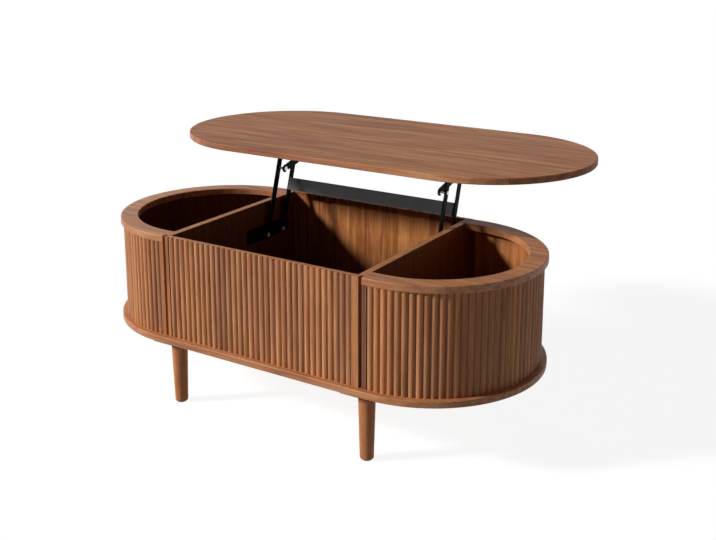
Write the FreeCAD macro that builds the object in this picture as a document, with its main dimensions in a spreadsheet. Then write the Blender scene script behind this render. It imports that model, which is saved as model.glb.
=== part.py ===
import FreeCAD, Part
import math
import os
import Sketcher

# Oval coffee table with a fluted carcass on four legs. The top is carried by two pairs of parallel
# arms, and stands raised and pushed back here, as the arms hold it when they are fully open.
# X runs along the table, Y towards the side where the top comes out, Z up from the floor.
# The origin is on the floor under the middle of the carcass.

Vector = FreeCAD.Vector
UP = Vector(0, 0, 1)
ALONG_X = Vector(1, 0, 0)
NEAR = 1e-6

# Driving dimensions, in millimetres and degrees
SIZES = {
    # base plate and its edges
    "table_width": 580,
    "base_thick": 17,
    "edge_round": 2.5,
    # upright boards
    "centre_width": 551,
    "partition_thick": 17,
    "wall_height": 245,
    "wall_inset": 13.5,
    "shell_thick": 15,
    "stile_width": 17.5,
    "stile_setback": 1,
    # flutes
    "slat_pitch": 16.36,
    "slat_gap": 1,
    "slat_height": 4.5,
    "slat_overrun": 5,
    # front and back panels
    "panel_thick": 10,
    "panel_overlap": 8.5,
    "panel_margin": 9.4,
    "strip_setback": 0.5,
    # end rims
    "rim_thick": 18,
    "rim_width": 45.5,
    "rim_side_inset": 14,
    "rim_end_inset": 4,
    # legs and what fixes them
    "leg_height": 175,
    "leg_inset": 52,
    "leg_top_diameter": 42,
    "leg_foot_diameter": 33,
    "foot_round": 4,
    "glide_diameter": 24,
    "glide_thick": 2,
    "leg_plate_size": 90,
    "leg_plate_thick": 4,
    "leg_bolt_diameter": 8,
    "leg_bolt_in_leg": 40,
    "leg_bolt_in_base": 14,
    "plate_screw_spacing": 70,
    # screws and dowels
    "screw_diameter": 4.5,
    "screw_length": 15,
    "screw_head_diameter": 9,
    "screw_head_thick": 1.5,
    "base_screw_diameter": 6,
    "base_screw_length": 47,
    "base_screw_head_diameter": 10,
    "base_screw_head_thick": 3,
    "base_screw_spacing": 120,
    "dowel_diameter": 6,
    "dowel_in_panel": 7,
    "dowel_in_partition": 23,
    "dowel_spacing": 90,
    # arms and where they turn
    "arm_length": 234.4,
    "arm_width": 17.5,
    "arm_thick": 3.5,
    "arm_offset": 5.6,
    "open_angle": 72.9,
    "pivot_spacing": 70.6,
    "rear_pivot_from_panel": 73.4,
    "pivot_below_rim": 92,
    "pivot_drop": 30,
    "pin_diameter": 8,
    "shoulder_diameter": 14,
    "head_diameter": 12.5,
    "head_thick": 2,
    "running_clearance": 0.05,
    "side_clearance": 0.2,
    # base brackets
    "bracket_thick": 3,
    "bracket_front": 81,
    "bracket_rear": 37.4,
    "bracket_above": 28,
    "bracket_below": 14,
    "bracket_corner": 10,
    "bracket_screw_inset": 13,
    # crossbar, at a place measured down the arms from their upper pivots
    "crossbar_at": 104.4,
    "crossbar_height": 35,
    "crossbar_thick": 3,
    "crossbar_side_gap": 1,
    "rivet_diameter": 5,
    "rivet_spacing": 20,
    "rivet_head_diameter": 8,
    "rivet_head_thick": 1.2,
    # latch hooks and stop pins, at places measured down the arms from their upper pivots
    "stop_at": 44.4,
    "stop_side": 3,
    "stop_head_diameter": 10,
    "latch_at": 25.4,
    "latch_offset": 16.9,
    "latch_thick": 3,
    "latch_width": 20,
    "latch_tail": 16,
    "latch_pin_diameter": 7,
    "hook_radius": 10.5,
    "hook_clearance": 1.2,
    "hook_mouth_angle": 42,
    # upper brackets and the top
    "upper_gap": 2,
    "upper_flange": 36,
    "upper_front": 14,
    "upper_rear": 36,
    "upper_below": 9,
    "upper_screw_inset": 12,
    "top_thick": 17,
    "lid_gap": 1.5,
    "bumper_diameter": 12,
    "bumper_thick": 1.2,
    "bumper_angle": 60,
}

doc = FreeCAD.newDocument("lift_top_table")
sheet = doc.addObject("Spreadsheet::Sheet", "sizes")
for row, (alias, number) in enumerate(SIZES.items(), start=1):
    sheet.set(f"A{row}", alias)
    sheet.set(f"B{row}", str(number))
    sheet.setAlias(f"B{row}", alias)
doc.recompute()


def size(alias):
    return f"sizes.{alias}"


def value(text):
    """The number that an expression stands for now, used to draw sketches close to their final shape."""
    return float(sheet.evalExpression(text))


# Plan of the carcass, as expressions of the driving dimensions
HALF_WIDTH = f"({size('table_width')} / 2)"
PARTITION_IN = f"({size('centre_width')} / 2)"
PARTITION_OUT = f"({PARTITION_IN} + {size('partition_thick')})"
PARTITION_MID = f"({PARTITION_IN} + {size('partition_thick')} / 2)"
END_CENTRE = f"({PARTITION_OUT} + {size('stile_width')})"
CREST = f"({HALF_WIDTH} - {size('wall_inset')})"
SHELL_OUT = f"({CREST} - {size('slat_height')})"
SHELL_IN = f"({SHELL_OUT} - {size('shell_thick')})"
PANEL_IN = f"({SHELL_OUT} - {size('panel_thick')})"
PANEL_HALF = f"({PARTITION_IN} + {size('panel_overlap')})"
RIM_OUT = f"({HALF_WIDTH} - {size('rim_side_inset')})"
RIM_IN = f"({RIM_OUT} - {size('rim_width')})"
RIM_CENTRE = f"({END_CENTRE} + {size('rim_side_inset')} - {size('rim_end_inset')})"
SLAT_WIDTH = f"({size('slat_pitch')} - {size('slat_gap')})"
PANEL_SLATS = f"floor((2 * {PANEL_HALF} - 2 * {size('panel_margin')}) / {size('slat_pitch')})"
OVERRUN_ANGLE = f"(180 / pi * {size('slat_overrun')} / {SHELL_OUT})"
END_SLATS = f"round((pi * {SHELL_OUT} + 2 * {size('slat_overrun')}) / {size('slat_pitch')})"
LEG_X = PARTITION_MID
LEG_Y = f"({HALF_WIDTH} - {size('leg_inset')})"

# Heights above the floor
BASE_LOW = size("leg_height")
BASE_TOP = f"({BASE_LOW} + {size('base_thick')})"
RIM_LOW = f"({BASE_TOP} + {size('wall_height')})"
RIM_TOP = f"({RIM_LOW} + {size('rim_thick')})"
LEG_TOP = f"({BASE_LOW} - {size('leg_plate_thick')})"

# Lift mechanism: lower pivots on the partitions, upper pivots under the raised top
REAR_Y = f"({PANEL_IN} - {size('rear_pivot_from_panel')})"
FRONT_Y = f"({REAR_Y} - {size('pivot_spacing')})"
PIVOT_Z = f"({RIM_TOP} - {size('pivot_below_rim')})"
COS_OPEN = f"cos({size('open_angle')})"
SIN_OPEN = f"sin({size('open_angle')})"
REACH = f"({size('arm_length')} * {COS_OPEN})"
RISE = f"({size('arm_length')} * {SIN_OPEN})"
CLOSED_RISE = f"({size('pivot_below_rim')} + {size('lid_gap')} - {size('pivot_drop')})"
CLOSED_REACH = f"sqrt({size('arm_length')} ^ 2 - {CLOSED_RISE} ^ 2)"
UPPER_Z = f"({PIVOT_Z} + {RISE})"
UPPER_REAR_Y = f"({REAR_Y} + {REACH})"
UPPER_FRONT_Y = f"({FRONT_Y} + {REACH})"
TOP_LOW = f"({UPPER_Z} + {size('pivot_drop')})"
TOP_Y = f"({REACH} + {CLOSED_REACH})"

# Planes of the mechanism's flat parts, as distances from the middle of the table
BRACKET_IN = f"({PARTITION_IN} - {size('bracket_thick')})"
ARM_OUT = f"({BRACKET_IN} - {size('arm_offset')})"
ARM_IN = f"({ARM_OUT} - {size('arm_thick')})"
LATCH_OUT = f"({ARM_IN} - {size('latch_offset')})"
LATCH_IN = f"({LATCH_OUT} - {size('latch_thick')})"
UPPER_IN = f"({ARM_OUT} + {size('upper_gap')})"
UPPER_OUT = f"({UPPER_IN} + {size('bracket_thick')})"

# Places along the arms, from their lower pivots
BAR_ALONG = f"({size('arm_length')} - {size('crossbar_at')})"
STOP_ALONG = f"({size('arm_length')} - {size('stop_at')})"
LATCH_ALONG = f"({size('arm_length')} - {size('latch_at')})"

# Latch hooks, from the stop pins on the front arms to their pivots on the rear arms
STOP_Y = f"({FRONT_Y} + {STOP_ALONG} * {COS_OPEN} + {size('stop_side')} * {SIN_OPEN})"
STOP_Z = f"({PIVOT_Z} + {STOP_ALONG} * {SIN_OPEN} - {size('stop_side')} * {COS_OPEN})"
LATCH_RUN = f"({REAR_Y} + {LATCH_ALONG} * {COS_OPEN} - {STOP_Y})"
LATCH_CLIMB = f"({PIVOT_Z} + {LATCH_ALONG} * {SIN_OPEN} - {STOP_Z})"
LATCH_LENGTH = f"sqrt({LATCH_RUN} ^ 2 + {LATCH_CLIMB} ^ 2)"
LATCH_TILT = f"atan({LATCH_CLIMB} / {LATCH_RUN})"

SIDES = {"left": -1, "right": 1}
ENDS = {"front": -1, "rear": 1}
FACES = {"front": -1, "back": 1}
TURN = {
    "x": FreeCAD.Rotation(Vector(0, 1, 0), 90),
    "y": FreeCAD.Rotation(ALONG_X, -90),
    "z": FreeCAD.Rotation(),
}
nodes = []


def keep(obj):
    """Mark an object as one of the table's pieces."""
    nodes.append(obj)
    return obj


def bind(obj, expressions):
    for name, text in expressions.items():
        obj.setExpression(name, text)
    return obj


def half(alias):
    return f"({size(alias)} / 2)"


def less(a, b):
    return f"({a} - {b})"


def plus(a, b):
    return f"({a} + {b})"


def signed(sign, text):
    return text if sign > 0 else f"(-{text})"


def span(sign, near, far):
    """A stretch from near to far on one side of the middle, as its low and high ends."""
    return (near, far) if sign > 0 else (f"(-{far})", f"(-{near})")


def about(middle, half_length):
    return (less(middle, half_length), plus(middle, half_length))


def box(name, x, y, z):
    """A block between low and high ends along each axis."""
    obj = doc.addObject("Part::Box", name)
    sides = {"Length": ("x", x), "Width": ("y", y), "Height": ("z", z)}
    for prop, (letter, (low, high)) in sides.items():
        bind(obj, {prop: less(high, low), f"Placement.Base.{letter}": low})
    return obj


def rod(name, axis, ends, radius, across):
    """A round bar between two ends along an axis; across gives the other two coordinates in order."""
    obj = doc.addObject("Part::Cylinder", name)
    obj.Placement = FreeCAD.Placement(Vector(), TURN[axis])
    places = dict(zip([letter for letter in "xyz" if letter != axis], across))
    places[axis] = ends[0]
    bind(obj, {"Radius": radius, "Height": less(ends[1], ends[0])})
    return bind(obj, {f"Placement.Base.{letter}": text for letter, text in places.items()})


def fuse(name, shapes):
    obj = doc.addObject("Part::MultiFuse", name)
    obj.Shapes = shapes
    return obj


def group(name, shapes):
    obj = doc.addObject("Part::Compound", name)
    obj.Links = shapes
    return obj


def cut(name, base, tools):
    obj = doc.addObject("Part::Cut", name)
    obj.Base = base
    obj.Tool = tools[0] if len(tools) == 1 else group(f"{name}_holes", tools)
    return obj


def stepped_pin(name, sign, steps, across):
    """A turned pin along X made of (near, far, radius) steps on one side of the table."""
    bars = [
        rod(f"{name}_step{i}", "x", span(sign, near, far), radius, across)
        for i, (near, far, radius) in enumerate(steps)
    ]
    return fuse(name, bars)


def new_body(name):
    return doc.addObject("PartDesign::Body", name)


def new_sketch(body, role, offset):
    """A sketch on one of the body's own origin planes, moved by an offset along the plane's axes."""
    plane = next(feature for feature in body.Origin.OriginFeatures if feature.Role == role)
    sketch = body.newObject("Sketcher::SketchObject", f"{body.Name}_sketch")
    sketch.AttachmentSupport = [(plane, "")]
    sketch.MapMode = "FlatFace"
    return bind(sketch, {f"AttachmentOffset.Base.{k}": text for k, text in offset.items()})


def dimension(sketch, name, constraint, text):
    index = sketch.addConstraint(constraint)
    sketch.renameConstraint(index, name)
    sketch.setExpression(f"Constraints.{name}", text)


def draw_arc(sketch, x, radius, start, end):
    circle = Part.Circle(Vector(x, 0, 0), UP, radius)
    return sketch.addGeometry(Part.ArcOfCircle(circle, start, end))


def draw_line(sketch, start, end):
    return sketch.addGeometry(Part.LineSegment(Vector(*start, 0), Vector(*end, 0)))


def constrain(sketch, rules):
    sketch.addConstraint([Sketcher.Constraint(*rule) for rule in rules])


def draw_stadium(sketch, centres, radius):
    """An oval of two half circles joined by straight sides, about the sketch's origin."""
    x, r = value(centres) / 2, value(radius)
    quarter = math.pi / 2
    right = draw_arc(sketch, x, r, -quarter, quarter)
    left = draw_arc(sketch, -x, r, quarter, 3 * quarter)
    back = draw_line(sketch, (x, r), (-x, r))
    front = draw_line(sketch, (-x, -r), (x, -r))
    constrain(sketch, [
        ("Tangent", right, 2, back, 1),
        ("Tangent", back, 2, left, 1),
        ("Tangent", left, 2, front, 1),
        ("Tangent", front, 2, right, 1),
        ("Symmetric", right, 3, left, 3, -1, 1),
        ("PointOnObject", right, 3, -1),
        ("Equal", right, left),
    ])
    dimension(sketch, "radius", Sketcher.Constraint("Radius", right, r), radius)
    dimension(sketch, "centres", Sketcher.Constraint("DistanceX", left, 3, right, 3, 2 * x), centres)
    return right, left


def draw_end_holes(sketch, arcs, radius):
    """A round hole in the middle of each end of an oval."""
    for arc, name in zip(arcs, ("far_hole", "near_hole")):
        middle = sketch.Geometry[arc].Center
        hole = sketch.addGeometry(Part.Circle(middle, UP, value(radius)))
        constrain(sketch, [("Coincident", hole, 3, arc, 3)])
        dimension(sketch, name, Sketcher.Constraint("Radius", hole, value(radius)), radius)


def draw_half_ring(sketch, outer, inner):
    """Half a ring about the sketch's origin, on its +X side."""
    r_out, r_in = value(outer), value(inner)
    quarter = math.pi / 2
    big = draw_arc(sketch, 0, r_out, -quarter, quarter)
    small = draw_arc(sketch, 0, r_in, -quarter, quarter)
    back = draw_line(sketch, (0, r_out), (0, r_in))
    front = draw_line(sketch, (0, -r_in), (0, -r_out))
    constrain(sketch, [
        ("Coincident", big, 3, -1, 1),
        ("Coincident", small, 3, -1, 1),
        ("Coincident", big, 2, back, 1),
        ("Coincident", back, 2, small, 2),
        ("Coincident", small, 1, front, 1),
        ("Coincident", front, 2, big, 1),
        ("PointOnObject", back, 1, -2),
        ("PointOnObject", back, 2, -2),
        ("PointOnObject", front, 1, -2),
        ("PointOnObject", front, 2, -2),
    ])
    dimension(sketch, "outer", Sketcher.Constraint("Radius", big, r_out), outer)
    dimension(sketch, "inner", Sketcher.Constraint("Radius", small, r_in), inner)


def draw_horseshoe(sketch, start, centre, outer, inner):
    """Half a ring with straight legs that run back from its centre to a start line."""
    x0, xc, r_out, r_in = (value(text) for text in (start, centre, outer, inner))
    quarter = math.pi / 2
    front_out = draw_line(sketch, (x0, -r_out), (xc, -r_out))
    big = draw_arc(sketch, xc, r_out, -quarter, quarter)
    back_out = draw_line(sketch, (xc, r_out), (x0, r_out))
    back_end = draw_line(sketch, (x0, r_out), (x0, r_in))
    back_in = draw_line(sketch, (x0, r_in), (xc, r_in))
    small = draw_arc(sketch, xc, r_in, -quarter, quarter)
    front_in = draw_line(sketch, (xc, -r_in), (x0, -r_in))
    front_end = draw_line(sketch, (x0, -r_in), (x0, -r_out))
    constrain(sketch, [
        ("Tangent", front_out, 2, big, 1),
        ("Tangent", big, 2, back_out, 1),
        ("Coincident", back_out, 2, back_end, 1),
        ("Coincident", back_end, 2, back_in, 1),
        ("Tangent", back_in, 2, small, 2),
        ("Tangent", small, 1, front_in, 1),
        ("Coincident", front_in, 2, front_end, 1),
        ("Coincident", front_end, 2, front_out, 1),
        ("Coincident", big, 3, small, 3),
        ("PointOnObject", big, 3, -1),
        ("Horizontal", front_out),
        ("Horizontal", back_out),
        ("Horizontal", back_in),
        ("Horizontal", front_in),
        ("Vertical", back_end),
        ("Vertical", front_end),
        ("Vertical", back_end, 1, front_end, 1),
    ])
    dimension(sketch, "outer", Sketcher.Constraint("Radius", big, r_out), outer)
    dimension(sketch, "inner", Sketcher.Constraint("Radius", small, r_in), inner)
    dimension(sketch, "centre", Sketcher.Constraint("DistanceX", -1, 1, big, 3, xc), centre)
    dimension(sketch, "start", Sketcher.Constraint("DistanceX", -1, 1, back_end, 1, x0), start)


def draw_slat(sketch, foot):
    """The section of a slat that stands towards -Y, with its flat back at a distance from the origin."""
    width, height, y = value(SLAT_WIDTH), value(size("slat_height")), value(foot)
    curve = f"(({SLAT_WIDTH} ^ 2 / 4 + {size('slat_height')} ^ 2) / (2 * {size('slat_height')}))"
    r = value(curve)
    reach = math.asin(width / 2 / r)
    circle = Part.Circle(Vector(0, r - height - y, 0), UP, r)
    arc = sketch.addGeometry(
        Part.ArcOfCircle(circle, 1.5 * math.pi - reach, 1.5 * math.pi + reach)
    )
    back = draw_line(sketch, (width / 2, -y), (-width / 2, -y))
    constrain(sketch, [
        ("Coincident", arc, 2, back, 1),
        ("Coincident", back, 2, arc, 1),
        ("Symmetric", back, 1, back, 2, -2),
    ])
    dimension(sketch, "width", Sketcher.Constraint("DistanceX", back, 2, back, 1, width), SLAT_WIDTH)
    dimension(sketch, "foot", Sketcher.Constraint("DistanceY", back, 1, -1, 1, y), foot)
    dimension(sketch, "curve", Sketcher.Constraint("Radius", arc, r), curve)


def pad(body, sketch, length):
    feature = body.newObject("PartDesign::Pad", f"{body.Name}_pad")
    feature.Profile = sketch
    bind(feature, {"Length": length})
    doc.recompute()
    return feature


def round_edges(body, feature, chosen, radius):
    """Round the edges of a feature that a test picks out."""
    names = [f"Edge{i}" for i, edge in enumerate(feature.Shape.Edges, start=1) if chosen(edge)]
    fillet = body.newObject("PartDesign::Fillet", f"{body.Name}_round")
    fillet.Base = (feature, names)
    return bind(fillet, {"Radius": radius})


def is_level(edge):
    return edge.BoundBox.ZLength < NEAR


# Base plate and table top: ovals with softly rounded edges
def oval_board(name, thick, low, back):
    body = new_body(name)
    sketch = new_sketch(body, "XY_Plane", {"y": back, "z": low})
    draw_stadium(sketch, f"2 * {END_CENTRE}", HALF_WIDTH)
    board = pad(body, sketch, thick)
    round_edges(body, board, is_level, size("edge_round"))
    return body


base_board = oval_board("base_board", size("base_thick"), BASE_LOW, "0")
top_board = oval_board("top_board", size("top_thick"), TOP_LOW, TOP_Y)


# Fixings that go up into the base plate
def leg_corners():
    for side, x_sign in SIDES.items():
        for end, y_sign in ENDS.items():
            yield f"{end}_{side}", signed(x_sign, LEG_X), signed(y_sign, LEG_Y)


def screw(name, axis, seat, direction, across, shank):
    """A wood screw whose head stands on a seat and whose shank runs from there along the axis."""
    head_end = plus(seat, signed(-direction, size("screw_head_thick")))
    tip = plus(seat, signed(direction, shank))
    head = (head_end, seat) if direction > 0 else (seat, head_end)
    body = (seat, tip) if direction > 0 else (tip, seat)
    return fuse(name, [
        rod(f"{name}_head", axis, head, half("screw_head_diameter"), across),
        rod(f"{name}_shank", axis, body, half("screw_diameter"), across),
    ])


leg_bolts = keep(group("leg_bolts", [
    rod(
        f"leg_bolt_{corner}", "z",
        (less(LEG_TOP, size("leg_bolt_in_leg")), plus(BASE_LOW, size("leg_bolt_in_base"))),
        half("leg_bolt_diameter"), (x, y),
    )
    for corner, x, y in leg_corners()
]))

plate_screw_list = []
for corner, x, y in leg_corners():
    for x_sign in SIDES.values():
        for y_sign in ENDS.values():
            place = (
                plus(x, signed(x_sign, half("plate_screw_spacing"))),
                plus(y, signed(y_sign, half("plate_screw_spacing"))),
            )
            name = f"plate_screw_{len(plate_screw_list)}"
            plate_screw_list.append(screw(name, "z", LEG_TOP, 1, place, size("screw_length")))
leg_plate_screws = keep(group("leg_plate_screws", plate_screw_list))

base_screw_list = []
for x_sign in SIDES.values():
    for step in (-1, 0, 1):
        place = (signed(x_sign, PARTITION_MID), f"({step} * {size('base_screw_spacing')})")
        name = f"base_screw_{len(base_screw_list)}"
        head_top = plus(BASE_LOW, size("base_screw_head_thick"))
        tip = plus(BASE_LOW, size("base_screw_length"))
        head_radius = half("base_screw_head_diameter")
        base_screw_list.append(fuse(name, [
            rod(f"{name}_head", "z", (BASE_LOW, head_top), head_radius, place),
            rod(f"{name}_shank", "z", (head_top, tip), half("base_screw_diameter"), place),
        ]))
base_screws = keep(group("base_screws", base_screw_list))

keep(cut("base_plate", base_board, [leg_bolts, leg_plate_screws, base_screws]))


# Legs on their plates
plate_list = [
    box(
        f"leg_plate_{corner}",
        about(x, half("leg_plate_size")), about(y, half("leg_plate_size")), (LEG_TOP, BASE_LOW),
    )
    for corner, x, y in leg_corners()
]
plates = group("leg_plate_blanks", plate_list)
keep(cut("leg_plates", plates, [leg_bolts, leg_plate_screws]))

for corner, x, y in leg_corners():
    body = new_body(f"{corner}_leg_turning")
    cone = body.newObject("PartDesign::AdditiveCone", f"{corner}_cone")
    bind(cone, {
        "Radius1": half("leg_foot_diameter"),
        "Radius2": half("leg_top_diameter"),
        "Height": less(LEG_TOP, size("glide_thick")),
    })
    doc.recompute()
    foot_z = cone.Shape.BoundBox.ZMin
    round_edges(
        body, cone,
        lambda edge: is_level(edge) and edge.BoundBox.ZMin < foot_z + NEAR,
        size("foot_round"),
    )
    bind(body, {
        "Placement.Base.x": x, "Placement.Base.y": y, "Placement.Base.z": size("glide_thick"),
    })
    keep(cut(f"{corner}_leg", body, [leg_bolts]))

keep(group("foot_glides", [
    rod(f"glide_{corner}", "z", ("0", size("glide_thick")), half("glide_diameter"), (x, y))
    for corner, x, y in leg_corners()
]))


# Dowels between the panels and the edges of the partitions
dowel_list = []
for x_sign in SIDES.values():
    for y_sign in ENDS.values():
        for step in (-1, 0, 1):
            ends = span(
                y_sign,
                less(PANEL_IN, size("dowel_in_partition")), plus(PANEL_IN, size("dowel_in_panel")),
            )
            x = signed(x_sign, f"(({PARTITION_IN} + {PANEL_HALF}) / 2)")
            z = f"({BASE_TOP} + {half('wall_height')} + {step} * {size('dowel_spacing')})"
            name = f"dowel_{len(dowel_list)}"
            dowel_list.append(rod(name, "y", ends, half("dowel_diameter"), (x, z)))
panel_dowels = keep(group("panel_dowels", dowel_list))


# Base brackets: plates on the inner faces of the partitions, with their screws and fixed pins
bracket_screw_list = []
lower_pin_list = []
brackets = {}
FREE = size("side_clearance")
PIN = half("pin_diameter")
HEAD_OUT = size("head_thick")
HEAD_IN = less(ARM_IN, FREE)
for side, sign in SIDES.items():
    y = (less(FRONT_Y, size("bracket_front")), plus(REAR_Y, size("bracket_rear")))
    z = (less(PIVOT_Z, size("bracket_below")), plus(PIVOT_Z, size("bracket_above")))
    x = span(sign, BRACKET_IN, PARTITION_IN)
    corner = size("bracket_corner")
    plate = [
        box(f"{side}_bracket_tall", x, (plus(y[0], corner), less(y[1], corner)), z),
        box(f"{side}_bracket_long", x, y, (plus(z[0], corner), less(z[1], corner))),
    ]
    for y_sign in ENDS.values():
        for z_sign in ENDS.values():
            place = (
                plus(y[0], corner) if y_sign < 0 else less(y[1], corner),
                plus(z[0], corner) if z_sign < 0 else less(z[1], corner),
            )
            plate.append(rod(f"{side}_bracket_round{len(plate)}", "x", x, corner, place))
    inset = size("bracket_screw_inset")
    for place in (
        (plus(y[0], inset), plus(z[0], inset)),
        (plus(y[0], inset), less(z[1], inset)),
        (less(y[1], inset), plus(z[0], inset)),
        (less(y[1], inset), less(z[1], inset)),
    ):
        name = f"bracket_screw_{len(bracket_screw_list)}"
        seat = signed(sign, BRACKET_IN)
        bracket_screw_list.append(screw(name, "x", seat, sign, place, size("screw_length")))
    for pivot_y in (FRONT_Y, REAR_Y):
        lower_pin_list.append(stepped_pin(f"lower_pin_{len(lower_pin_list)}", sign, [
            (HEAD_IN, PARTITION_IN, PIN),
            (less(HEAD_IN, HEAD_OUT), HEAD_IN, half("head_diameter")),
            (plus(ARM_OUT, FREE), BRACKET_IN, half("shoulder_diameter")),
        ], (pivot_y, PIVOT_Z)))
    brackets[side] = fuse(f"{side}_bracket_plate", plate)
base_bracket_screws = keep(group("base_bracket_screws", bracket_screw_list))
lower_pivot_pins = keep(group("lower_pivot_pins", lower_pin_list))
for side, plate in brackets.items():
    keep(cut(f"{side}_base_bracket", plate, [base_bracket_screws, lower_pivot_pins]))


# Partitions, curved end walls, slats, stiles and rims
def end_body(name, sign):
    """A body of one end of the table, drawn at the right and turned round for the left."""
    body = new_body(name)
    if sign < 0:
        body.Placement = FreeCAD.Placement(Vector(), FreeCAD.Rotation(UP, 180))
    return body


for side, sign in SIDES.items():
    board = box(
        f"{side}_partition_board",
        span(sign, PARTITION_IN, PARTITION_OUT), (f"(-{PANEL_IN})", PANEL_IN), (BASE_TOP, RIM_TOP),
    )
    keep(cut(f"{side}_partition", board, [base_screws, panel_dowels, base_bracket_screws]))

    wall = keep(end_body(f"{side}_end_wall", sign))
    sketch = new_sketch(wall, "XY_Plane", {"x": END_CENTRE, "z": BASE_TOP})
    draw_half_ring(sketch, SHELL_OUT, SHELL_IN)
    pad(wall, sketch, size("wall_height"))

    slats = keep(end_body(f"{side}_end_slats", sign))
    step = f"((180 + 2 * {OVERRUN_ANGLE}) / {END_SLATS})"
    sketch = new_sketch(slats, "XY_Plane", {"x": END_CENTRE, "z": BASE_TOP})
    bind(sketch, {"AttachmentOffset.Rotation.Angle": f"{step} / 2 - {OVERRUN_ANGLE}"})
    draw_slat(sketch, SHELL_OUT)
    slat = pad(slats, sketch, size("wall_height"))
    fan = slats.newObject("PartDesign::PolarPattern", f"{side}_slat_fan")
    fan.Originals = [slat]
    fan.Axis = (sketch, ["N_Axis"])
    bind(fan, {"Occurrences": END_SLATS, "Angle": f"({END_SLATS} - 1) * {step}"})
    slats.Tip = fan

    face_x = span(sign, PARTITION_OUT, less(END_CENTRE, size("slat_overrun")))
    for end, y_sign in ENDS.items():
        name = f"{side}_{end}_stile"
        face_y = span(y_sign, SHELL_OUT, less(CREST, size("stile_setback")))
        z = (BASE_TOP, RIM_LOW)
        core_x = span(sign, PARTITION_OUT, END_CENTRE)
        keep(fuse(name, [
            box(f"{name}_core", core_x, span(y_sign, SHELL_IN, SHELL_OUT), z),
            box(f"{name}_face", face_x, face_y, z),
        ]))

    rim = keep(end_body(f"{side}_rim", sign))
    sketch = new_sketch(rim, "XY_Plane", {"z": RIM_LOW})
    draw_horseshoe(sketch, PARTITION_OUT, RIM_CENTRE, RIM_OUT, RIM_IN)
    ring = pad(rim, sketch, size("rim_thick"))
    butt = min(edge.BoundBox.XMin for edge in ring.Shape.Edges)
    round_edges(
        rim, ring,
        lambda edge: is_level(edge) and edge.BoundBox.XMax > butt + NEAR,
        size("edge_round"),
    )


# Front and back panels with their slats; only the front one leaves a groove beside the stiles
for face, y_sign in FACES.items():
    strip_out = less(CREST, size("strip_setback"))
    z = (BASE_TOP, RIM_TOP)
    slat_run = f"({PANEL_SLATS} * {size('slat_pitch')})"
    first = f"(-{PANEL_HALF} + {size('panel_margin')})"
    last = plus(first, slat_run)
    reach = PANEL_HALF if y_sign < 0 else PARTITION_OUT
    low, high = f"(-{reach})", reach
    narrow = (low, first)
    wide = (last, high)
    if y_sign > 0:
        narrow = (f"(-{first})", high)
        wide = (low, f"(-{last})")
    board = fuse(f"{face}_panel_board", [
        box(f"{face}_panel_core", (low, high), span(y_sign, PANEL_IN, SHELL_OUT), z),
        box(f"{face}_panel_strip", narrow, span(y_sign, SHELL_OUT, strip_out), z),
        box(f"{face}_panel_lipping", wide, span(y_sign, SHELL_OUT, strip_out), z),
    ])
    keep(cut(f"{face}_panel", board, [panel_dowels]))

    slats = keep(new_body(f"{face}_slats"))
    if y_sign > 0:
        slats.Placement = FreeCAD.Placement(Vector(), FreeCAD.Rotation(UP, 180))
    sketch = new_sketch(slats, "XY_Plane", {"x": plus(first, half("slat_pitch")), "z": BASE_TOP})
    draw_slat(sketch, SHELL_OUT)
    slat = pad(slats, sketch, less(RIM_TOP, BASE_TOP))
    row = slats.newObject("PartDesign::LinearPattern", f"{face}_slat_row")
    row.Originals = [slat]
    row.Direction = (sketch, ["H_Axis"])
    bind(row, {"Occurrences": PANEL_SLATS, "Length": f"({PANEL_SLATS} - 1) * {size('slat_pitch')}"})
    slats.Tip = row


# Arms: flat bars drawn along Y from their lower pivot, then turned to the open angle
def swing(obj, angle, y, z):
    """Turn a piece up about the X axis and carry its origin to a place."""
    obj.Placement = FreeCAD.Placement(Vector(), FreeCAD.Rotation(ALONG_X, value(angle)))
    return bind(obj, {
        "Placement.Base.y": y,
        "Placement.Base.z": z,
        "Placement.Rotation.Angle": angle,
    })


def on_arm(obj, pivot_y):
    """Carry a piece from the arm's own frame to its open place on the lower pivot."""
    return swing(obj, size("open_angle"), pivot_y, PIVOT_Z)


def arm_blank(name, x_low):
    body = new_body(name)
    sketch = new_sketch(body, "YZ_Plane", {"x": half("arm_length"), "z": x_low})
    arcs = draw_stadium(sketch, size("arm_length"), half("arm_width"))
    draw_end_holes(sketch, arcs, plus(PIN, size("running_clearance")))
    pad(body, sketch, size("arm_thick"))
    return body


LATCH_PIN = half("latch_pin_diameter")
LATCH_ACROSS = (LATCH_ALONG, "0")
STOP_ACROSS = (STOP_ALONG, f"(-{size('stop_side')})")
ARM_EDGE = half("arm_width")
BAR_LOW = less(BAR_ALONG, half("crossbar_height"))
BAR_HIGH = plus(BAR_ALONG, half("crossbar_height"))
TAB_IN = less(ARM_IN, size("crossbar_thick"))

rivet_list = []
latch_pin_list = []
for side, sign in SIDES.items():
    head = size("rivet_head_thick")
    for step in (-1, 1):
        along = plus(BAR_ALONG, f"({step} * {half('rivet_spacing')})")
        rivet_list.append(stepped_pin(f"rivet_{len(rivet_list)}", sign, [
            (TAB_IN, ARM_OUT, half("rivet_diameter")),
            (less(TAB_IN, head), TAB_IN, half("rivet_head_diameter")),
        ], (along, "0")))
    latch_pin_list.append(stepped_pin(f"{side}_latch_pin", sign, [
        (less(LATCH_IN, FREE), ARM_OUT, LATCH_PIN),
        (less(LATCH_IN, plus(FREE, HEAD_OUT)), less(LATCH_IN, FREE), half("head_diameter")),
        (plus(LATCH_OUT, FREE), ARM_IN, half("shoulder_diameter")),
    ], LATCH_ACROSS))
rivets = group("rivets_in_arm_frame", rivet_list)
latch_pins = group("latch_pins_in_arm_frame", latch_pin_list)

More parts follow.
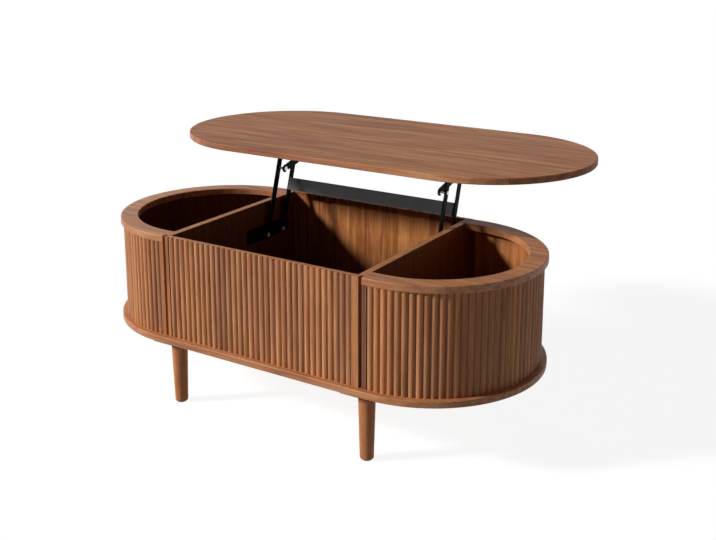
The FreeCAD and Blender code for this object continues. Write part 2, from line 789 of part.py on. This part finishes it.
WEB_END = less(ARM_IN, size("crossbar_side_gap"))
web_depth = (ARM_EDGE, plus(ARM_EDGE, size("crossbar_thick")))
tab_depth = (f"(-{ARM_EDGE})", ARM_EDGE)
bar_along = (BAR_LOW, BAR_HIGH)
bar = fuse("crossbar_bar", [
    box("crossbar_web", (f"(-{WEB_END})", WEB_END), bar_along, web_depth),
    box("crossbar_left_tab", span(-1, TAB_IN, ARM_IN), bar_along, tab_depth),
    box("crossbar_right_tab", span(1, TAB_IN, ARM_IN), bar_along, tab_depth),
])
on_arm(keep(cut("crossbar", bar, [rivets])), REAR_Y)
on_arm(keep(group("crossbar_rivets", [rivets])), REAR_Y)
on_arm(keep(group("latch_pivot_pins", [latch_pins])), REAR_Y)

for side, sign in SIDES.items():
    rear = arm_blank(f"{side}_rear_bar", span(sign, ARM_IN, ARM_OUT)[0])
    on_arm(keep(cut(f"{side}_rear_arm", rear, [rivets, latch_pins])), REAR_Y)

    stop = stepped_pin(f"{side}_stop_in_arm_frame", sign, [
        (less(LATCH_IN, FREE), ARM_OUT, LATCH_PIN),
        (less(LATCH_IN, plus(FREE, HEAD_OUT)), less(LATCH_IN, FREE), half("head_diameter")),
        (ARM_OUT, plus(ARM_OUT, size("rivet_head_thick")), half("stop_head_diameter")),
    ], STOP_ACROSS)
    on_arm(keep(group(f"{side}_stop_pin", [stop])), FRONT_Y)
    front = arm_blank(f"{side}_front_bar", span(sign, ARM_IN, ARM_OUT)[0])
    on_arm(keep(cut(f"{side}_front_arm", front, [stop])), FRONT_Y)


# Latch hooks: bars drawn along Y from the stop pin, which turn on the rear arms
ORIGIN = ("0", "0")
LATCH_EDGE = half("latch_width")
LATCH_END = (plus(LATCH_LENGTH, size("latch_tail")), "0")
THROAT = plus(LATCH_PIN, size("hook_clearance"))
for side, sign in SIDES.items():
    x = span(sign, LATCH_IN, LATCH_OUT)
    blank = fuse(f"{side}_latch_blank", [
        rod(f"{side}_latch_nose", "x", x, size("hook_radius"), ORIGIN),
        rod(f"{side}_latch_end", "x", x, LATCH_EDGE, LATCH_END),
        box(f"{side}_latch_bar", x, ("0", LATCH_END[0]), (f"(-{LATCH_EDGE})", LATCH_EDGE)),
    ])
    slot = box(
        f"{side}_latch_slot", x, (f"(-{THROAT})", THROAT), (f"(-2 * {size('hook_radius')})", "0"),
    )
    mouth = group(f"{side}_latch_mouth", [slot])
    pivot_hole = plus(LATCH_PIN, size("running_clearance"))
    hook = cut(f"{side}_latch_hook", blank, [
        rod(f"{side}_latch_throat", "x", x, THROAT, ORIGIN),
        swing(mouth, size("hook_mouth_angle"), *ORIGIN),
        rod(f"{side}_latch_hole", "x", x, pivot_hole, (LATCH_LENGTH, "0")),
    ])
    swing(keep(hook), LATCH_TILT, STOP_Y, STOP_Z)


# Upper brackets: angles under the top, with fixed pins for the upper ends of the arms
upper_pin_list = []
upper_screw_list = []
angles = {}
for side, sign in SIDES.items():
    y = (less(UPPER_FRONT_Y, size("upper_front")), plus(UPPER_REAR_Y, size("upper_rear")))
    flange_z = (less(TOP_LOW, size("bracket_thick")), TOP_LOW)
    flange_in = less(UPPER_OUT, size("upper_flange"))
    angles[side] = fuse(f"{side}_upper_angle", [
        box(f"{side}_upper_leg", span(sign, UPPER_IN, UPPER_OUT), y,
            (less(UPPER_Z, size("upper_below")), TOP_LOW)),
        box(f"{side}_upper_flange", span(sign, flange_in, UPPER_OUT), y, flange_z),
    ])
    for pivot_y in (UPPER_FRONT_Y, UPPER_REAR_Y):
        upper_pin_list.append(stepped_pin(f"upper_pin_{len(upper_pin_list)}", sign, [
            (HEAD_IN, UPPER_OUT, PIN),
            (less(HEAD_IN, HEAD_OUT), HEAD_IN, half("head_diameter")),
            (plus(ARM_OUT, FREE), UPPER_IN, half("shoulder_diameter")),
        ], (pivot_y, UPPER_Z)))
    inset = size("upper_screw_inset")
    for screw_y in (plus(y[0], inset), less(y[1], inset)):
        for row_x in (plus(flange_in, inset), less(UPPER_IN, inset)):
            name = f"upper_screw_{len(upper_screw_list)}"
            place = (signed(sign, row_x), screw_y)
            upper_screw_list.append(
                screw(name, "z", flange_z[0], 1, place, size("screw_length"))
            )
upper_pivot_pins = keep(group("upper_pivot_pins", upper_pin_list))
upper_bracket_screws = keep(group("upper_bracket_screws", upper_screw_list))
for side, angle in angles.items():
    keep(cut(f"{side}_upper_bracket", angle, [upper_pivot_pins, upper_bracket_screws]))
keep(cut("table_top", top_board, [upper_bracket_screws]))


# Rubber bumpers under the top, which meet the middle of the rims when it is down
bumper_list = []
for x_sign in SIDES.values():
    for step in (-1, 0, 1):
        angle = f"({step} * {size('bumper_angle')})"
        radius = f"({RIM_OUT} - {half('rim_width')})"
        place = (
            signed(x_sign, f"({RIM_CENTRE} + {radius} * cos({angle}))"),
            f"({TOP_Y} + {radius} * sin({angle}))",
        )
        ends = (less(TOP_LOW, size("bumper_thick")), TOP_LOW)
        name = f"bumper_{len(bumper_list)}"
        bumper_list.append(rod(name, "z", ends, half("bumper_diameter"), place))
keep(group("lid_bumpers", bumper_list))

doc.recompute()


# Nothing is written unless every object is sound
for obj in doc.Objects:
    if "Invalid" in obj.State or "Error" in obj.State:
        raise RuntimeError(f"{obj.Label} failed: {obj.State}")
for obj in nodes:
    if obj.Shape.isNull() or not obj.Shape.isValid() or not obj.Shape.Solids:
        raise RuntimeError(f"{obj.Label} has no valid solid")

os.makedirs("parts", exist_ok=True)
for obj in nodes:
    obj.Shape.exportStep(f"parts/{obj.Label}.step")

print(f"{len(nodes)} pieces written")
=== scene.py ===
"""Looks of the oval lift-top coffee table: its woods, metals and soft parts, the lamps and the camera."""

import math

import bpy
from mathutils import Color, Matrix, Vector


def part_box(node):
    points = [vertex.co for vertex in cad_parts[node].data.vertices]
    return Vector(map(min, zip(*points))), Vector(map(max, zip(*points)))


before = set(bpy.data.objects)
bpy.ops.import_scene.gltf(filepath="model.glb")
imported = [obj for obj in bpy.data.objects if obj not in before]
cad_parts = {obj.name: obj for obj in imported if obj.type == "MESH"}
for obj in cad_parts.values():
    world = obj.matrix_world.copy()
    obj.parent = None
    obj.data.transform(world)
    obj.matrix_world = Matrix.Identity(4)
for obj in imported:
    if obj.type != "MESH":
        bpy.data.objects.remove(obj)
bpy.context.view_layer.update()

# Slats, in metres: the pitch and overrun are the part's own, and the rest is read from the frame
SLAT_PITCH = 0.01636
SLAT_OVERRUN = 0.005
panel_low, panel_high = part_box("front_slats")
PANEL_SLATS = round((panel_high.x - panel_low.x) / SLAT_PITCH)
FIRST_SLAT = (panel_low.x + panel_high.x - PANEL_SLATS * SLAT_PITCH) / 2
wall_low, wall_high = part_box("right_end_wall")
END_CENTRE = wall_low.x
WALL_RADIUS = wall_high.x - wall_low.x
END_TURN = math.pi + 2 * SLAT_OVERRUN / WALL_RADIUS
END_SLATS = round(END_TURN * WALL_RADIUS / SLAT_PITCH)

# The room within the walls, where shade is painted: how far out from the middle line, and between which
# heights
NEAR = 0.0005
INSIDE_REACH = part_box("back_panel")[0].y + NEAR
INSIDE_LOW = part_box("base_plate")[1].z - NEAR
INSIDE_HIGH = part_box("left_partition")[1].z - NEAR

# The upright edge of the table top, painted paler, partly as painted sheen
EDGE_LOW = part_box("table_top")[0].z + NEAR
EDGE_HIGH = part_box("table_top")[1].z - NEAR

# Camera, in metres, radians and millimetres, found from the outlines in the photograph
CAMERA_PLACE = Vector((1.43677, -2.09678, 1.20258))
CAMERA_YAW = 0.5645
CAMERA_PITCH = 0.2238
CAMERA_LENS = 51.94
CAMERA_SENSOR = 36.0
CAMERA_SHIFT = -0.15

# Lamps and world: a direction is towards the lamp
KEY_DIRECTION = Vector((-0.755, -0.656, 0.53))
KEY_LEVEL = 1.0
KEY_ANGLE = math.radians(8)
BACK_DIRECTION = Vector((-0.85, 0.52, 0.08))
BACK_LEVEL = 0.35
BACK_ANGLE = math.radians(30)
AMBIENT_LEVEL = 0.008
BACKGROUND_LEVEL = 1.0

# Floor: what the camera sees is mostly its own white, and a share of real light keeps the shadow
FLOOR_SIZE = 60.0
FLOOR_GLOW = 0.9
FLOOR_SHADE = 0.2
FLOOR_BOUNCE = 0.5
PAPER = {"scale": 3, "detail": 2}
PAPER_SPREAD = 1.02

# Noises, ramps and slats run from nought to one; most of a noise lies in its range, and much in its core
WHOLE = (0, 1)
MIDDLE = 0.5
NOISE_RANGE = (0.3, 0.7)
NOISE_CORE = (0.35, 0.65)


def tone(red, green, blue):
    """A screen colour, 0 to 255 a channel, as the linear colour that a shader takes."""
    linear = Color((red / 255, green / 255, blue / 255)).from_srgb_to_scene_linear()
    return (*linear, 1.0)


def grey(level):
    """A linear grey, from black at nought to white at one."""
    return (level, level, level, 1.0)


class Graph:
    """The node tree of a material or of the world, with short calls for the nodes used here."""

    def __init__(self, owner):
        owner.use_nodes = True
        self.tree = owner.node_tree
        self.tree.nodes.clear()

    def add(self, kind, inputs, **settings):
        """A new node: an input that is another node's socket is linked, and a plain value is set."""
        made = self.tree.nodes.new("ShaderNode" + kind)
        for name, value in settings.items():
            setattr(made, name, value)
        for socket, value in inputs.items():
            if isinstance(value, bpy.types.NodeSocket):
                self.tree.links.new(value, made.inputs[socket])
            else:
                made.inputs[socket].default_value = value
        return made

    def math(self, operation, first, second=0.0, clamp=False):
        return self.add("Math", {0: first, 1: second}, operation=operation, use_clamp=clamp).outputs[0]

    def vector(self, operation, first, second):
        return self.add("VectorMath", {0: first, 1: second}, operation=operation).outputs[0]

    def place(self):
        """The point's place in the table's frame, in metres."""
        return self.add("TexCoord", {}).outputs["Object"]

    def parts(self, place):
        return self.add("SeparateXYZ", {0: place}).outputs

    def noise(self, place, scale, detail, roughness=0.5, distortion=0.0, along="x", stretch=1):
        """A noise with so many cells to the metre, drawn out along an axis where it has a stretch."""
        if stretch > 1:
            place = self.vector("MULTIPLY", place, [1 / stretch if axis == along else 1 for axis in "xyz"])
        inputs = {
            "Vector": place, "Scale": scale, "Detail": detail,
            "Roughness": roughness, "Distortion": distortion,
        }
        return self.add("TexNoise", inputs).outputs["Fac"]

    def remap(self, value, low, high, to_low=0.0, to_high=1.0):
        inputs = {0: value, 1: low, 2: high, 3: to_low, 4: to_high}
        return self.add("MapRange", inputs).outputs[0]

    def ramp(self, value, positions, colours):
        """A colour that runs from one to the next as the value passes their positions."""
        made = self.add("ValToRGB", {"Fac": value})
        elements = made.color_ramp.elements
        while len(elements) < len(colours):
            elements.new(MIDDLE)
        while len(elements) > len(colours):
            elements.remove(elements[-1])
        for element, position, colour in zip(elements, positions, colours):
            element.position = position
            element.color = colour
        return made.outputs["Color"]

    def mix(self, share, first, second, blend="MIX"):
        made = self.add("Mix", {0: share, 6: first, 7: second}, data_type="RGBA", blend_type=blend)
        return made.outputs[2]

    def tint(self, colour, factor, share=1.0):
        """A colour multiplied by another colour or a level, wholly or by a share."""
        return self.mix(share, colour, factor, "MULTIPLY")

    def bump(self, height, strength, distance):
        inputs = {"Height": height, "Strength": strength, "Distance": distance}
        return self.add("Bump", inputs).outputs[0]

    def seen(self):
        """One for the rays that show a surface, and nought for those that only carry its light on."""
        path = self.add("LightPath", {}).outputs
        shown = self.math("ADD", path["Is Camera Ray"], path["Is Glossy Ray"])
        return self.math("ADD", shown, path["Is Transmission Ray"], clamp=True)

    def shader(self, kind, inputs):
        return self.add(kind, inputs).outputs[0]

    def finish(self, shader, kind="Material"):
        self.add("Output" + kind, {"Surface": shader})

    def coat(self, inputs):
        """A principled shader with these inputs, as the material's surface."""
        self.finish(self.shader("BsdfPrincipled", inputs))


def new_material(name):
    material = bpy.data.materials.new(name)
    return material, Graph(material)


# Wood: its colours
WALNUT_DARK = tone(134, 80, 50)
WALNUT_MID = tone(195, 128, 82)
WALNUT_LIGHT = tone(224, 162, 112)
WALNUT_ROSE = tone(186, 120, 86)
WALNUT_OLIVE = tone(178, 126, 74)
PORE = tone(84, 50, 32)
# Painted shade in the grooves between slats: a warmer, darker tint
GROOVE_PAINTED_SHADE = (1.0, 0.92, 0.78, 1.0)
BEECH_TONES = (tone(186, 146, 100), tone(224, 192, 148))

# Wood: its patterns
BANDS = {"stretch": 9, "scale": 14, "detail": 2, "distortion": 0.4}
STREAKS = {"stretch": 16, "scale": 75, "detail": 3, "roughness": 0.55, "distortion": 0.3}
LINES = {"stretch": 40, "scale": 380, "detail": 3, "roughness": 0.6}
PORES = {"stretch": 22, "scale": 1100, "detail": 1}
FLECKS = {"stretch": 10, "scale": 500, "detail": 3}

# Wood: how strongly the patterns show
STREAK_SHARE = 0.6
FIGURE_SPREAD = 0.16
HUE_SHARE = 0.4
BAND_SWELL = 0.08
PORE_RANGE = (0.62, 0.72)
PORE_STRENGTH = 0.5
SLAT_TONES = (0.8, 1.12)
# How far from a slat's middle the painted groove shade begins and is full
GROOVE_SHADE_RANGE = (0.3, 0.5)

# Wood: its surface, with a pair of roughnesses from the low end of a pattern to the high end
LINE_RELIEF = 0.5
WALNUT_BUMP = {"strength": 0.15, "distance": 0.0004}
WALNUT_ROUGHNESS = (0.56, 0.44)
WALNUT_IOR = 1.45
BEECH_BUMP = {"strength": 0.2, "distance": 0.0002}
BEECH_ROUGHNESS = (0.6, 0.8)


def panel_slat(graph, place):
    """How many slats along a point of the straight front or back is, with the two counted apart."""
    x, y, _ = graph.parts(place)
    along = graph.math("DIVIDE", graph.math("SUBTRACT", x, FIRST_SLAT), SLAT_PITCH)
    return graph.math("ADD", along, graph.math("MULTIPLY", graph.math("SIGN", y), PANEL_SLATS))


def end_slat(graph, place):
    """How many slats round an end's centre a point of that end is, with the two ends counted apart."""
    x, y, _ = graph.parts(place)
    out = graph.math("SUBTRACT", graph.math("ABSOLUTE", x), END_CENTRE)
    turn = graph.math("ADD", graph.math("ARCTAN2", y, out), END_TURN / 2)
    count = graph.math("MULTIPLY", turn, END_SLATS / END_TURN)
    return graph.math("ADD", count, graph.math("MULTIPLY", graph.math("SIGN", x), END_SLATS * 2))


def inside_painted_shade(graph, place):
    """Where shade is painted: one on the faces within the compartments, below the boards' top edges, and
    nought elsewhere.
    """
    x, y, z = graph.parts(place)
    past = graph.math("MAXIMUM", graph.math("SUBTRACT", graph.math("ABSOLUTE", x), END_CENTRE), 0.0)
    square = graph.math("ADD", graph.math("MULTIPLY", past, past), graph.math("MULTIPLY", y, y))
    within = graph.math("LESS_THAN", graph.math("SQRT", square), INSIDE_REACH)
    above = graph.math("GREATER_THAN", z, INSIDE_LOW)
    below = graph.math("LESS_THAN", z, INSIDE_HIGH)
    return graph.math("MULTIPLY", within, graph.math("MULTIPLY", above, below))


def painted_sheen_edge(graph, place):
    """Where sheen is partly painted: one on the upright edge of the table top, and nought on its faces."""
    z = graph.parts(place)[2]
    above = graph.math("GREATER_THAN", z, EDGE_LOW)
    return graph.math("MULTIPLY", above, graph.math("LESS_THAN", z, EDGE_HIGH))


def figure_colour(graph, bands, streaks, lines, figured, banded):
    """Brown streaks and lines, whose hue and tone change slowly over the bands."""
    streaked = graph.math("MULTIPLY", streaks, STREAK_SHARE)
    lined = graph.math("MULTIPLY", lines, 1 - STREAK_SHARE)
    figure = graph.math("ADD", streaked, lined)
    spread = FIGURE_SPREAD / figured
    positions = (MIDDLE - spread, MIDDLE, MIDDLE + spread)
    colour = graph.ramp(figure, positions, (WALNUT_DARK, WALNUT_MID, WALNUT_LIGHT))
    low, high = NOISE_CORE
    hue = graph.ramp(bands, (low, MIDDLE, high), (WALNUT_ROSE, WALNUT_MID, WALNUT_OLIVE))
    colour = graph.mix(HUE_SHARE, colour, hue)
    swell = BAND_SWELL * figured * banded
    return graph.tint(colour, graph.remap(bands, low, high, 1 - swell, 1 + swell))


def slat_colour(graph, colour, count, chance):
    """A tone of its own for each slat, by chance, and painted shade, a warmer darker tint, towards the
    grooves between them.
    """
    colour = graph.tint(colour, graph.remap(chance, *WHOLE, *SLAT_TONES))
    off_middle = graph.math("ABSOLUTE", graph.math("SUBTRACT", graph.math("FRACT", count), MIDDLE))
    return graph.tint(colour, GROOVE_PAINTED_SHADE, graph.remap(off_middle, *GROOVE_SHADE_RANGE))


def painted_light_colour(graph, colour, table, mask, painted_levels):
    """Painted shade and sheen within a mask: factors, each at its height as a share of the compartments'
    depth.
    """
    height = graph.remap(graph.parts(table)[2], INSIDE_LOW, INSIDE_HIGH)
    shade = graph.ramp(height, painted_levels.keys(), [(*factors, 1) for factors in painted_levels.values()])
    return graph.tint(colour, shade, mask(graph, table))


def walnut(
    name, along, start=(0, 0, 0), slat=None, shade=None, painted_light=None,
    figured=1.0, banded=1.0, gloss=0.5,
):
    """Oiled walnut whose grain runs along an axis, in slow bands of tone, streaks, fine lines and pores.

    The start moves the pattern, so that boards differ, and a slat function gives each slat its own.
    The shade changes all of the wood, and a mask with factors by height paints shade and sheen on a part
    of it.
    A larger figured value makes the whole figure stronger, and a larger banded value only the bands.
    """
    material, graph = new_material(name)
    table = graph.place()
    board = graph.vector("ADD", table, start)
    wood = board
    if slat:
        count = slat(graph, table)
        number = graph.math("FLOOR", count)
        chance = graph.add("TexWhiteNoise", {"W": number}, noise_dimensions="1D").outputs
        wood = graph.vector("ADD", board, chance["Color"])

    bands = graph.noise(board, along=along, **BANDS)
    streaks = graph.noise(wood, along=along, **STREAKS)
    lines = graph.noise(wood, along=along, **LINES)
    pores = graph.noise(wood, along=along, **PORES)
    pitted = graph.remap(pores, *PORE_RANGE, 0, PORE_STRENGTH)

    colour = figure_colour(graph, bands, streaks, lines, figured, banded)
    if slat:
        colour = slat_colour(graph, colour, count, chance["Value"])
    colour = graph.mix(pitted, colour, PORE)
    if shade:
        colour = graph.tint(colour, (*shade, 1))
    # Painted shade within the compartments and painted sheen on the top's edge, each by its mask and
    # factors by height
    if painted_light:
        colour = painted_light_colour(graph, colour, table, *painted_light)

    height = graph.math("SUBTRACT", graph.math("MULTIPLY", lines, LINE_RELIEF), pitted)
    graph.coat({
        "Base Color": colour,
        "Roughness": graph.remap(streaks, *NOISE_RANGE, *WALNUT_ROUGHNESS),
        "Normal": graph.bump(height, **WALNUT_BUMP),
        "IOR": WALNUT_IOR,
        "Specular IOR Level": gloss,
    })
    return material


def beech(name):
    """Raw pale dowel wood with short flecks."""
    material, graph = new_material(name)
    flecks = graph.noise(graph.place(), along="y", **FLECKS)
    graph.coat({
        "Base Color": graph.ramp(flecks, NOISE_CORE, BEECH_TONES),
        "Roughness": graph.remap(flecks, *WHOLE, *BEECH_ROUGHNESS),
        "Normal": graph.bump(flecks, **BEECH_BUMP),
    })
    return material


# Metal: the bush on a pivot pin begins where the arm ends
ARM_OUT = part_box("right_front_arm")[1].x
BLACK = tone(5, 5, 6)
BLACK_TONES = (BLACK, tone(10, 10, 11))
CHARCOAL_TONES = (tone(40, 40, 42), tone(50, 50, 52))
ZINC_TONES = (tone(206, 207, 210), tone(228, 228, 226))
PEEL = {"scale": 1400, "detail": 2}
PEEL_BUMP = {"strength": 0.2, "distance": 0.0002}
COAT_CLOUDS = {"scale": 30, "detail": 3}
COAT_SPREAD = 0.05
BRUSHING = {"stretch": 10, "scale": 2500, "detail": 2}
BRUSHING_RANGE = (0.2, 0.8)
BRUSHING_BUMP = {"strength": 0.1, "distance": 0.0001}
ZINC_CLOUDS = {"scale": 180, "detail": 2}
ZINC_ROUGHNESS = (0.35, 0.5)


def coated_steel(name, tones, roughness, gloss):
    """Powder-coated steel: a fine orange-peel skin with slow changes of tone."""
    material, graph = new_material(name)
    place = graph.place()
    peel = graph.noise(place, **PEEL)
    clouds = graph.noise(place, **COAT_CLOUDS)
    graph.coat({
        "Base Color": graph.ramp(clouds, NOISE_RANGE, tones),
        "Roughness": graph.remap(clouds, *NOISE_RANGE, roughness - COAT_SPREAD, roughness + COAT_SPREAD),
        "Normal": graph.bump(peel, **PEEL_BUMP),
        "Specular IOR Level": gloss,
    })
    return material


def zinc(name, bushed=False):
    """Bright zinc plating, faintly brushed, on a pin that may have a black bush outside the arms."""
    material, graph = new_material(name)
    place = graph.place()
    brushed = graph.noise(place, along="x", **BRUSHING)
    clouds = graph.noise(place, **ZINC_CLOUDS)
    colour = graph.ramp(clouds, NOISE_RANGE, ZINC_TONES)
    metal = 1.0
    if bushed:
        bush = graph.math("GREATER_THAN", graph.math("ABSOLUTE", graph.parts(place)[0]), ARM_OUT)
        colour = graph.mix(bush, colour, BLACK)
        metal = graph.math("SUBTRACT", 1.0, bush)
    graph.coat({
        "Base Color": colour,
        "Metallic": metal,
        "Roughness": graph.remap(brushed, *BRUSHING_RANGE, *ZINC_ROUGHNESS),
        "Normal": graph.bump(brushed, **BRUSHING_BUMP),
    })
    return material


# Small soft parts
FELT_TONES = (tone(58, 54, 50), tone(96, 90, 84))
RUBBER_TONES = (tone(26, 26, 26), tone(40, 40, 40))
GRAINS = {"detail": 4, "roughness": 0.7}
GRAIN_SPREAD = 0.08
GRAIN_DEPTH = 0.0003


def speckled(name, tones, scale, roughness, relief):
    """A matte stuff of fine fibres or grains, such as felt or rubber."""
    material, graph = new_material(name)
    grains = graph.noise(graph.place(), scale, **GRAINS)
    graph.coat({
        "Base Color": graph.ramp(grains, NOISE_RANGE, tones),
        "Roughness": graph.remap(grains, *WHOLE, roughness - GRAIN_SPREAD, roughness + GRAIN_SPREAD),
        "Normal": graph.bump(grains, relief, GRAIN_DEPTH),
    })
    return material


# A finish for every node: the material and the names of the nodes that have it
FINISHES = [
    (walnut(
        "walnut_top", "x", shade=(0.73, 0.67, 0.57), banded=2.2, gloss=0.12,
        # The upright edge is painted paler: partly a paler edge tone, partly painted sheen and light on
        # the rounded edge
        painted_light=(painted_sheen_edge, {0: (1.42, 1.62, 2.4)}),
    ), ["table_top"]),
    (walnut(
        "walnut_base", "x", start=(3, 1, 2),
        # Painted shade: the base plate's floor within the compartments is painted darker
        painted_light=(inside_painted_shade, {0: (0.22, 0.17, 0.13)}),
    ), ["base_plate"]),
    (walnut(
        "walnut_rim", "x", start=(1, 5, 1), shade=(0.97, 0.91, 0.79), figured=1.4, gloss=0.7,
    ), ["left_rim", "right_rim"]),
    (walnut(
        "walnut_back_board", "z", start=(2, 3, 4), figured=1.7, gloss=0.12,
        # Painted shade: the back panel's inner face is painted darker towards the bottom of the
        # compartments
        painted_light=(inside_painted_shade, {0: (0.22, 0.15, 0.11), 0.7: (1.06, 0.96, 0.8)}),
    ), ["back_panel"]),
    (walnut(
        "walnut_end_board", "z", start=(2, 6, 4), figured=1.3, gloss=0.12,
        # Painted shade: the right end wall's inner face is painted darker, most towards the bottom
        painted_light=(inside_painted_shade, {0: (0.16, 0.11, 0.08), 0.8: (0.92, 0.84, 0.69)}),
    ), ["right_end_wall"]),
    (walnut(
        "walnut_painted_shade_board", "z", start=(2, 6, 4), gloss=0.2,
        # Painted shade: these boards' faces within the compartments are painted dark, darker towards the
        # bottom
        painted_light=(inside_painted_shade, {0: (0.18, 0.11, 0.08), 1: (0.34, 0.23, 0.17)}),
    ), ["left_end_wall", "front_panel", "left_front_stile", "left_rear_stile", "right_rear_stile"]),
    (walnut(
        "walnut_partition", "z", start=(7, 2, 3), gloss=0.35,
        # Painted shade: the partitions' faces within the compartments are painted very dark, darker
        # towards the bottom
        painted_light=(inside_painted_shade, {0: (0.15, 0.09, 0.05), 0.55: (0.22, 0.13, 0.07), 1: (0.3, 0.19, 0.11)}),
    ), ["left_partition", "right_partition"]),
    (walnut(
        # Painted shade: the right front stile is painted much darker, as shade beside the front panel's
        # edge
        "walnut_painted_shade_stile", "z", start=(8, 1, 4), shade=(0.38, 0.34, 0.33),
    ), ["right_front_stile"]),
    (walnut(
        "walnut_end_slats", "z", start=(5, 2, 1), slat=end_slat, shade=(1.06, 1.08, 1.08), gloss=0.4,
    ), ["left_end_slats", "right_end_slats"]),
    (walnut(
        "walnut_panel_slats", "z", start=(4, 4, 3), slat=panel_slat, shade=(1.1, 1.16, 1.18), figured=1.2,
    ), ["front_slats", "back_slats"]),
    (walnut(
        "walnut_leg", "z", start=(6, 1, 2), shade=(1.08, 1.03, 0.96), gloss=0.3,
    ), ["front_left_leg", "front_right_leg", "rear_left_leg", "rear_right_leg"]),
    (beech("raw_beech"), ["panel_dowels"]),
    (coated_steel("black_steel", BLACK_TONES, roughness=0.5, gloss=0.04), [
        "left_base_bracket", "right_base_bracket", "left_rear_arm", "right_rear_arm",
        "left_front_arm", "right_front_arm", "left_upper_bracket", "right_upper_bracket",
        "left_latch_hook", "right_latch_hook", "leg_plates", "base_bracket_screws", "crossbar_rivets",
    ]),
    (coated_steel("charcoal_steel", CHARCOAL_TONES, roughness=0.3, gloss=0.5), ["crossbar"]),
    (zinc("bright_zinc"), [
        "base_screws", "leg_bolts", "leg_plate_screws", "latch_pivot_pins",
        "left_stop_pin", "right_stop_pin", "upper_bracket_screws",
    ]),
    (zinc("bushed_zinc", bushed=True), ["lower_pivot_pins", "upper_pivot_pins"]),
    (speckled("dark_felt", FELT_TONES, scale=900, roughness=0.9, relief=0.6), ["foot_glides"]),
    (speckled("matte_rubber", RUBBER_TONES, scale=1600, roughness=0.75, relief=0.2), ["lid_bumpers"]),
]

for material, names in FINISHES:
    for name in names:
        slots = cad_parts[name].data.materials
        for place in range(len(slots)):
            slots[place] = material


# Floor, world, lamps and camera
def make_floor():
    """A wide flat floor that shows white with a faint shadow, and lights the table like pale paper."""
    half = FLOOR_SIZE / 2
    mesh = bpy.data.meshes.new("floor")
    corners = [(-half, -half, 0), (half, -half, 0), (half, half, 0), (-half, half, 0)]
    mesh.from_pydata(corners, [], [(0, 1, 2, 3)])
    floor = bpy.data.objects.new("floor", mesh)
    bpy.context.scene.collection.objects.link(floor)
    material, graph = new_material("pale_floor")
    paper = graph.noise(graph.place(), **PAPER)
    tones = (grey(FLOOR_BOUNCE), grey(FLOOR_BOUNCE * PAPER_SPREAD))
    bounce = graph.shader("BsdfDiffuse", {"Color": graph.ramp(paper, WHOLE, tones)})
    shade = graph.shader("BsdfDiffuse", {"Color": grey(FLOOR_SHADE)})
    glow = graph.shader("Emission", {"Strength": FLOOR_GLOW})
    shown = graph.shader("AddShader", {0: shade, 1: glow})
    graph.finish(graph.shader("MixShader", {0: graph.seen(), 1: bounce, 2: shown}))
    mesh.materials.append(material)


def make_world():
    """A white background that adds only a little light of its own."""
    world = bpy.data.worlds.new("studio")
    bpy.context.scene.world = world
    graph = Graph(world)
    ambient = graph.shader("Background", {"Color": grey(1.0), "Strength": AMBIENT_LEVEL})
    shown = graph.shader("Background", {"Color": grey(1.0), "Strength": BACKGROUND_LEVEL})
    graph.finish(graph.shader("MixShader", {0: graph.seen(), 1: ambient, 2: shown}), "World")


def make_lamp(name, direction, level, angle, sheen=True):
    """A far lamp; level is what a white surface square to it would show."""
    light = bpy.data.lights.new(name, "SUN")
    light.energy = level * math.pi
    light.angle = angle
    lamp = bpy.data.objects.new(name, light)
    lamp.rotation_euler = direction.to_track_quat("Z", "Y").to_euler()
    lamp.visible_glossy = sheen
    bpy.context.scene.collection.objects.link(lamp)


def make_camera():
    """The photograph's camera, which looks down at the front from the right."""
    lens = bpy.data.cameras.new("camera")
    lens.sensor_fit = "HORIZONTAL"
    lens.sensor_width = CAMERA_SENSOR
    lens.lens = CAMERA_LENS
    lens.shift_y = CAMERA_SHIFT
    camera = bpy.data.objects.new("camera", lens)
    level = math.cos(CAMERA_PITCH)
    aim = Vector((-math.sin(CAMERA_YAW) * level, math.cos(CAMERA_YAW) * level, -math.sin(CAMERA_PITCH)))
    camera.location = CAMERA_PLACE
    camera.rotation_euler = aim.to_track_quat("-Z", "Y").to_euler()
    bpy.context.scene.collection.objects.link(camera)
    bpy.context.scene.camera = camera


make_floor()
make_world()
make_lamp("key", KEY_DIRECTION, KEY_LEVEL, KEY_ANGLE)
make_lamp("back", BACK_DIRECTION, BACK_LEVEL, BACK_ANGLE, sheen=False)
make_camera()
bpy.context.scene.view_settings.view_transform = "Standard"
